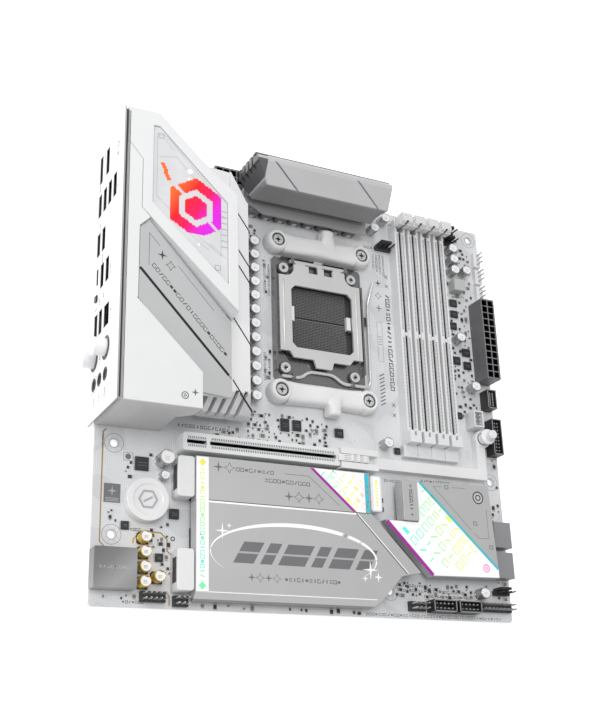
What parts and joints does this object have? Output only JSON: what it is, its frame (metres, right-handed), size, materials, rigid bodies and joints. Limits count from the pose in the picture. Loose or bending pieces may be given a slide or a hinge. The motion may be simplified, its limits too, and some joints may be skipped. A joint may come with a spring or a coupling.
{
  "type": "computer motherboard",
  "caption": "White desktop motherboard with a levered processor socket, latched memory slots, heatsinks and a tall rear port cover.",
  "frame": {"origin": "centre of the datum standoff hole at the board's underside", "axes": "+X away from the rear ports, +Y towards the processor edge, +Z out of the component side"},
  "size_m": [0.2534, 0.2478, 0.0476],
  "materials": {
    "pcb_white": "satin solder mask, white, with printed marks",
    "white_plastic": "fine moulded texture",
    "gloss_white": "smooth gloss",
    "silver_alloy": "bead-blasted and anodised",
    "white_coated_alloy": "satin powder coat",
    "steel": "nickel-plated",
    "black_plastic": "moulded, matte",
    "gray_plastic": "moulded, matte",
    "clear_panel": "frosted, lit from behind",
    "gold_metal": "bright, lacquered",
    "capacitor_can": "bright can with printed top",
    "ferrite": "pressed powder",
    "thermal_pad": "soft, matte"
  },
  "bodies": {
    "board": {"circuit_board": "pcb_white", "socket_backplate": "steel", "socket_housing": "white_plastic", "socket_contacts": "gold_metal", "socket_frame": "steel", "socket_screws": "steel", "cooler_bracket_upper": "white_plastic", "cooler_bracket_lower": "white_plastic", "cooler_bracket_screws": "steel", "main_power_socket": "gray_plastic", "cpu_power_socket": "gray_plastic", "pcie_slot": "white_plastic", "pcie_release_channel": "white_plastic", "m2_cover_upper": "silver_alloy", "m2_cover_lower": "silver_alloy", "m2_end_blocks": "white_plastic", "m2_connectors": "black_plastic", "thermal_pads": "thermal_pad", "heatsink_screws": "steel", "chipset_heatsink": "silver_alloy", "chipset": "black_plastic", "vrm_heatsink_upper": "silver_alloy", "vrm_heatsink_rear": "white_coated_alloy", "vrm_power_stages": "black_plastic", "vrm_chokes": "ferrite", "shroud_body": "white_plastic", "shroud_trim_panel": "silver_alloy", "shroud_window_frame": "white_plastic", "light_panel": "clear_panel", "io_shield": "white_coated_alloy", "usb_ports": "steel", "network_port": "steel", "display_ports": "steel", "audio_jacks": "black_plastic", "antenna_connectors": "gloss_white", "audio_shield": "steel", "capacitors": "capacitor_can", "audio_capacitors": "gold_metal", "battery_cover": "white_plastic", "coin_cell": "steel", "sata_ports": "gray_plastic", "front_usb_headers": "gray_plastic", "pin_headers": "gray_plastic", "chips": "black_plastic", "dimm_slot_1": "white_plastic", "dimm_slot_2": "white_plastic", "dimm_slot_3": "white_plastic", "dimm_slot_4": "white_plastic"},
    "load_plate": {"load_plate": "steel"},
    "socket_lever": {"socket_lever": "steel"},
    "dimm_latch_1": {"dimm_latch_1": "white_plastic"},
    "dimm_latch_2": {"dimm_latch_2": "white_plastic"},
    "dimm_latch_3": {"dimm_latch_3": "white_plastic"},
    "dimm_latch_4": {"dimm_latch_4": "white_plastic"},
    "pcie_latch": {"pcie_latch": "white_plastic"},
    "pcie_release_button": {"pcie_release_button": "gloss_white"},
    "bios_button": {"bios_button": "black_plastic"},
    "cmos_button": {"cmos_button": "gloss_white"},
    "m2_latch_1": {"m2_latch_1": "white_plastic"},
    "m2_latch_2": {"m2_latch_2": "white_plastic"}
  },
  "joints": [
    {"name": "load_plate_hinge", "type": "hinge", "parent": "board", "child": "load_plate", "pos_m": [0.11684, 0.11683, 0.0052], "axis": [-1, 0, 0], "range_deg": [0, 100]},
    {"name": "socket_lever_hinge", "type": "hinge", "parent": "board", "child": "socket_lever", "pos_m": [0.11684, 0.04703, 0.0048], "axis": [1, 0, 0], "range_deg": [0, 110]},
    {"name": "dimm_latch_1_hinge", "type": "hinge", "parent": "board", "child": "dimm_latch_1", "pos_m": [0.17144, 0.15433, 0.0046], "axis": [-1, 0, 0], "range_deg": [0, 25]},
    {"name": "dimm_latch_2_hinge", "type": "hinge", "parent": "board", "child": "dimm_latch_2", "pos_m": [0.18069, 0.15433, 0.0046], "axis": [-1, 0, 0], "range_deg": [0, 25]},
    {"name": "dimm_latch_3_hinge", "type": "hinge", "parent": "board", "child": "dimm_latch_3", "pos_m": [0.18994, 0.15433, 0.0046], "axis": [-1, 0, 0], "range_deg": [0, 25]},
    {"name": "dimm_latch_4_hinge", "type": "hinge", "parent": "board", "child": "dimm_latch_4", "pos_m": [0.19919, 0.15433, 0.0046], "axis": [-1, 0, 0], "range_deg": [0, 25]},
    {"name": "pcie_button_press", "type": "slide", "parent": "board", "child": "pcie_release_button", "axis": [0, 0, -1], "range_m": [0, 0.003], "stiffness_N_per_m": 300, "springref_m": -0.001},
    {"name": "pcie_latch_slide", "type": "slide", "parent": "board", "child": "pcie_latch", "axis": [1, 0, 0], "range_m": [0, 0.003]},
    {"name": "bios_button_press", "type": "slide", "parent": "board", "child": "bios_button", "axis": [1, 0, 0], "range_m": [0, 0.0008], "stiffness_N_per_m": 400, "springref_m": -0.0005},
    {"name": "cmos_button_press", "type": "slide", "parent": "board", "child": "cmos_button", "axis": [1, 0, 0], "range_m": [0, 0.0008], "stiffness_N_per_m": 400, "springref_m": -0.0005},
    {"name": "m2_latch_1_turn", "type": "hinge", "parent": "board", "child": "m2_latch_1", "pos_m": [0.12684, -0.01617, 0.0016], "axis": [0, 0, 1], "range_deg": [0, 90]},
    {"name": "m2_latch_2_turn", "type": "hinge", "parent": "board", "child": "m2_latch_2", "pos_m": [0.12684, -0.05017, 0.0016], "axis": [0, 0, 1], "range_deg": [0, 90]}
  ],
  "couplings": [
    {"joint": "pcie_latch_slide", "follows": "pcie_button_press", "ratio": 1}
  ]
}
